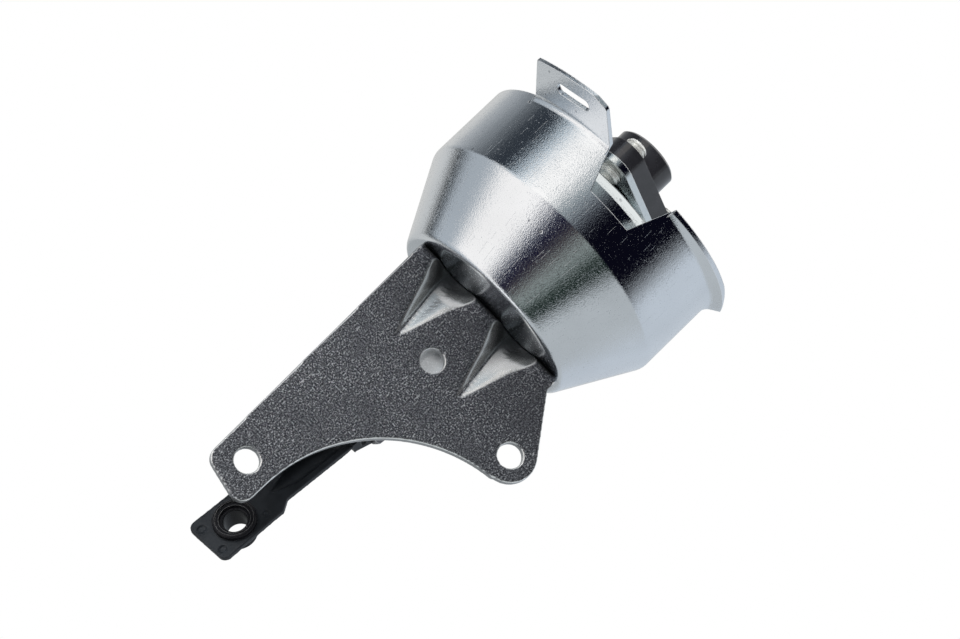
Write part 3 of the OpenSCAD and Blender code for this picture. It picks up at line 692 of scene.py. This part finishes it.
# From the neck upwards nothing is wider than the neck, and the socket is flattened from the back
# and the front, less and less towards its top.
half_neck, neck_from = 3.45 * MM, 17
from_neck = local[:, 2] / MM > neck_from
local[:, 0] = np.where(from_neck, np.clip(local[:, 0], -half_neck, half_neck), local[:, 0])
drawn_in = ramp(local[:, 2] / MM, 26.0, 28.5)
local[:, 1] *= 1 - drawn_in * (0.62 - 0.35 * ramp(local[:, 2] / MM, 28.2, 32.6))

# The eye plate is drawn out past the ring, most at its lower left corner. Beside the ring only
# the rim moves. Below it the stretch starts further in, so the corners stay round.
half_plate, ring_radius, plate_end = 5.1, 4.6, 6.9
across, down = local[:, 0] / MM, -local[:, 2] / MM
still = ring_radius - 2.6 * ramp(down, 3.6, 5.2)
to_left = ramp(-across, still, half_plate) * (1 - ramp(-down, 6, 8))
to_right = ramp(across, still, half_plate) * ramp(down, -6, 6)
local[:, 0] += (0.5 * to_right - 0.85 * to_left) * MM
local[:, 2] -= (0.5 + 0.4 * ramp(-across, -5, 5)) * MM * ramp(down, 4.7, plate_end)
ends = local @ np.array([sideways, back, up]) + np.array(eye)
pressed_end = pressed("pressed_rod_end", end_mesh, ends, black_coat, nodes["rod_end"])
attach(pressed_end, "rod_body")
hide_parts("rod_end")
print("rod end squares:", len(end_mesh.polygons), "eye at", [round(c / MM, 1) for c in eye])

# %% [markdown]
# ## Finishes on the CAD pieces
# Each CAD piece keeps its shape, and gets its finish by name. A table keeps this readable.

# %% Which piece has which finish
finish_of = {
    "bracket": bracket_steel, "outer_can": zinc_sheet, "upper_cover": zinc_cover,
    "port_plate": zinc_cover, "lower_pan": inner_steel, "crimp_ring": inner_steel,
    "piston_cup": inner_steel, "piston_washer": inner_steel, "diaphragm": rubber,
    "port_seal": rubber, "rod_wiper": rubber, "port_body": black_plastic,
    "port_screws": fastener_zinc, "mounting_studs": fastener_zinc, "stud_washers": fastener_zinc,
    "stud_nuts": fastener_zinc, "lock_nut": nut_phosphate, "guide_bush": bush_bronze,
    "return_spring": spring_steel, "rod": rod_zinc, "rod_end": black_coat,
    "eye_housing": eye_steel, "eye_clip": eye_steel, "eye_bush": eye_steel,
}
for name, finish in finish_of.items():
    mesh = nodes[name].data
    mesh.materials.clear()
    mesh.materials.append(finish)
print("finished CAD pieces:", len(finish_of))

# %% [markdown]
# ## Floor, light and the cards of a product studio
# The floor is a plain pale sheet. A shiny can shows what stands round it more than its own
# colour, so the studio matters: a pale room, soft boxes, and pale and dark cards all round.
# The cards are only seen in reflections, and they aren't part of the object.

# %% World and floor
world = bpy.data.worlds.new("studio")
bpy.context.scene.world = world
world.use_nodes = True
wt = world.node_tree
wt.nodes.clear()
rays = wt.nodes.new("ShaderNodeLightPath")
seen = wt.nodes.new("ShaderNodeMath"); seen.operation = "MAXIMUM"
wt.links.new(rays.outputs["Is Camera Ray"], seen.inputs[0])
wt.links.new(rays.outputs["Is Glossy Ray"], seen.inputs[1])
shown = wt.nodes.new("ShaderNodeMath"); shown.operation = "MAXIMUM"
wt.links.new(seen.outputs[0], shown.inputs[0])
wt.links.new(rays.outputs["Is Transmission Ray"], shown.inputs[1])
fill, backdrop = wt.nodes.new("ShaderNodeBackground"), wt.nodes.new("ShaderNodeBackground")
fill.inputs["Color"].default_value = (0.95, 0.97, 1.0, 1)
fill.inputs["Strength"].default_value = 0.45
backdrop.inputs["Color"].default_value = (1, 1, 1, 1)
backdrop.inputs["Strength"].default_value = 1.0
both = wt.nodes.new("ShaderNodeMixShader")
wt.links.new(shown.outputs[0], both.inputs[0])
wt.links.new(fill.outputs[0], both.inputs[1])
wt.links.new(backdrop.outputs[0], both.inputs[2])
out = wt.nodes.new("ShaderNodeOutputWorld")
wt.links.new(both.outputs[0], out.inputs["Surface"])


def sheet(name, centre, facing, width, height, material):
    """A flat stage piece of a given size that faces a direction."""
    mesh = bpy.data.meshes.new(name)
    w, h = width / 2, height / 2
    mesh.from_pydata([(-w, -h, 0), (w, -h, 0), (w, h, 0), (-w, h, 0)], [], [(0, 1, 2, 3)])
    mesh.materials.append(material)
    obj = placed(name, mesh)
    obj.location = centre
    obj.rotation_mode = "QUATERNION"
    obj.rotation_quaternion = Vector(facing).to_track_quat("Z", "Y")


floor_finish = Finish("floor_paper")
paper = floor_finish.noise(place_mm(floor_finish), 0.4, 3)
floor_paper = floor_finish.paint(
    Base_Color=floor_finish.mix(paper, (0.90, 0.90, 0.90), (0.94, 0.94, 0.94)), Roughness=0.9)
sheet("floor", (0, 0, -0.75), (0, 0, 1), 12, 12, floor_paper)
print("floor and world ready")

# %% [markdown]
# ### Soft boxes
# Four area lamps light the part: one on either side, one above and one in front. They don't
# show in reflections, because there the cards take their place.

# %% Soft boxes
def lamp(name, direction, distance, width, height, power):
    """An area lamp that shines at the can from a direction seen from it."""
    light = bpy.data.lights.new(name, "AREA")
    light.shape, light.size, light.size_y = "RECTANGLE", width, height
    light.energy = power
    obj = placed(name, light)
    toward = Vector(direction).normalized()
    obj.location = seat + toward * distance
    obj.rotation_mode = "QUATERNION"
    obj.rotation_quaternion = toward.to_track_quat("Z", "Y")
    obj.visible_glossy = False


lamp("box_left", (-0.80, -0.62, 0.05), 0.7, 0.30, 0.45, 5.0)
lamp("box_right", (0.93, -0.25, 0.10), 0.8, 0.35, 0.5, 3.5)
lamp("box_top", (-0.2, -0.3, 1.0), 0.9, 0.5, 0.5, 4.0)
lamp("front_fill", (-0.05, -1.0, -0.10), 0.9, 0.25, 0.25, 3.0)
print("lamps ready")

# %% [markdown]
# ## What the zinc mirrors
# The round can mirrors the whole room, squeezed into stripes: each angle round the can shows
# one direction of the room. Curved cards are placed by direction, so a stripe on the can can be
# traced back to its card. The collar mirrors cards above the horizon, the cone cards below it.
# A card's compass angle is about twice the angle round the can where its stripe appears.

# %% Curved cards, seen only in reflections
CARD_DISTANCE = 0.62


def reflected(name, left, right, low, high, tone):
    """A card between two compass angles (0 is the front, right is positive) and two heights."""
    across, up = 12, 8
    points = []
    for j in range(up + 1):
        rise = math.radians(low + (high - low) * j / up)
        for i in range(across + 1):
            turned = math.radians(left + (right - left) * i / across)
            points.append(seat + CARD_DISTANCE * Vector((
                math.sin(turned) * math.cos(rise), -math.cos(turned) * math.cos(rise), math.sin(rise))))
    faces = [(j * (across + 1) + i, j * (across + 1) + i + 1, (j + 1) * (across + 1) + i + 1,
              (j + 1) * (across + 1) + i) for j in range(up) for i in range(across)]
    glow = Finish(name).paint(Base_Color=(0, 0, 0), Roughness=1.0, Specular_IOR_Level=0.0,
                              Emission_Color=tone, Emission_Strength=1.0)
    mesh = bpy.data.meshes.new(name)
    mesh.from_pydata(points, [], faces)
    mesh.materials.append(glow)
    obj = placed(name, mesh)
    for hidden_from in ("camera", "diffuse", "shadow", "transmission", "volume_scatter"):
        setattr(obj, "visible_" + hidden_from, False)


cards = [
    # name, from, to, low, high, tone
    ("wall_beige", -190, -136, 2, 50, (0.66, 0.66, 0.65)),
    ("wall_soft", -136, -118, 2, 50, (0.42, 0.44, 0.46)),
    ("wall_grey", -118, -104, 2, 50, (0.26, 0.28, 0.30)),
    ("wall_dim", -104, -92, 2, 50, (0.15, 0.165, 0.18)),
    ("wall_dark", -92, -62, 2, 50, (0.035, 0.043, 0.055)),
    ("wall_blue", -62, -50, -12, 50, (0.58, 0.66, 0.72)),
    ("box_top", -50, -20, 27, 50, (0.34, 0.38, 0.41)),
    ("box_bright", -50, -20, -12, 27, (1.19, 1.15, 1.11)),
    ("front_grey", -20, -5, -12, 50, (0.32, 0.36, 0.38)),
    ("front_dim", -5, 5, -12, 50, (0.12, 0.13, 0.15)),
    ("front_dark", 5, 68, -12, 50, (0.003, 0.003, 0.008)),
    ("side_grey", 68, 80, -12, 50, (0.30, 0.32, 0.34)),
    ("side_pale", 80, 170, -12, 50, (0.60, 0.65, 0.71)),
    ("low_left", -160, -125, -75, 2, (0.62, 0.63, 0.63)),
    ("low_line", -125, -112, -75, 2, (0.05, 0.055, 0.06)),
    ("low_pale", -112, -77, -75, 2, (0.46, 0.50, 0.54)),
    ("low_white", -77, -26, -75, -12, (1.12, 1.08, 1.05)),
    ("low_shade", -26, -19, -75, -12, (0.35, 0.37, 0.42)),
    ("low_dark", -19, 1, -75, -12, (0.010, 0.010, 0.030)),
    ("low_brown", 1, 13, -75, -12, (0.085, 0.075, 0.075)),
    ("low_green", 13, 28, -75, -12, (0.29, 0.33, 0.32)),
    ("low_black", 28, 53, -75, -12, (0.015, 0.026, 0.022)),
    ("low_right", 52, 150, -75, -12, (0.52, 0.55, 0.57)),
    ("low_behind", 150, 200, -75, 2, (0.42, 0.44, 0.45)),
]
for card_values in cards:
    reflected(*card_values)
print("cards seen in reflections:", len(cards))

# %% [markdown]
# ## View settings and the end
# The Standard view shows a colour about as it is written.

# %% Finish
bpy.context.scene.view_settings.view_transform = "Standard"
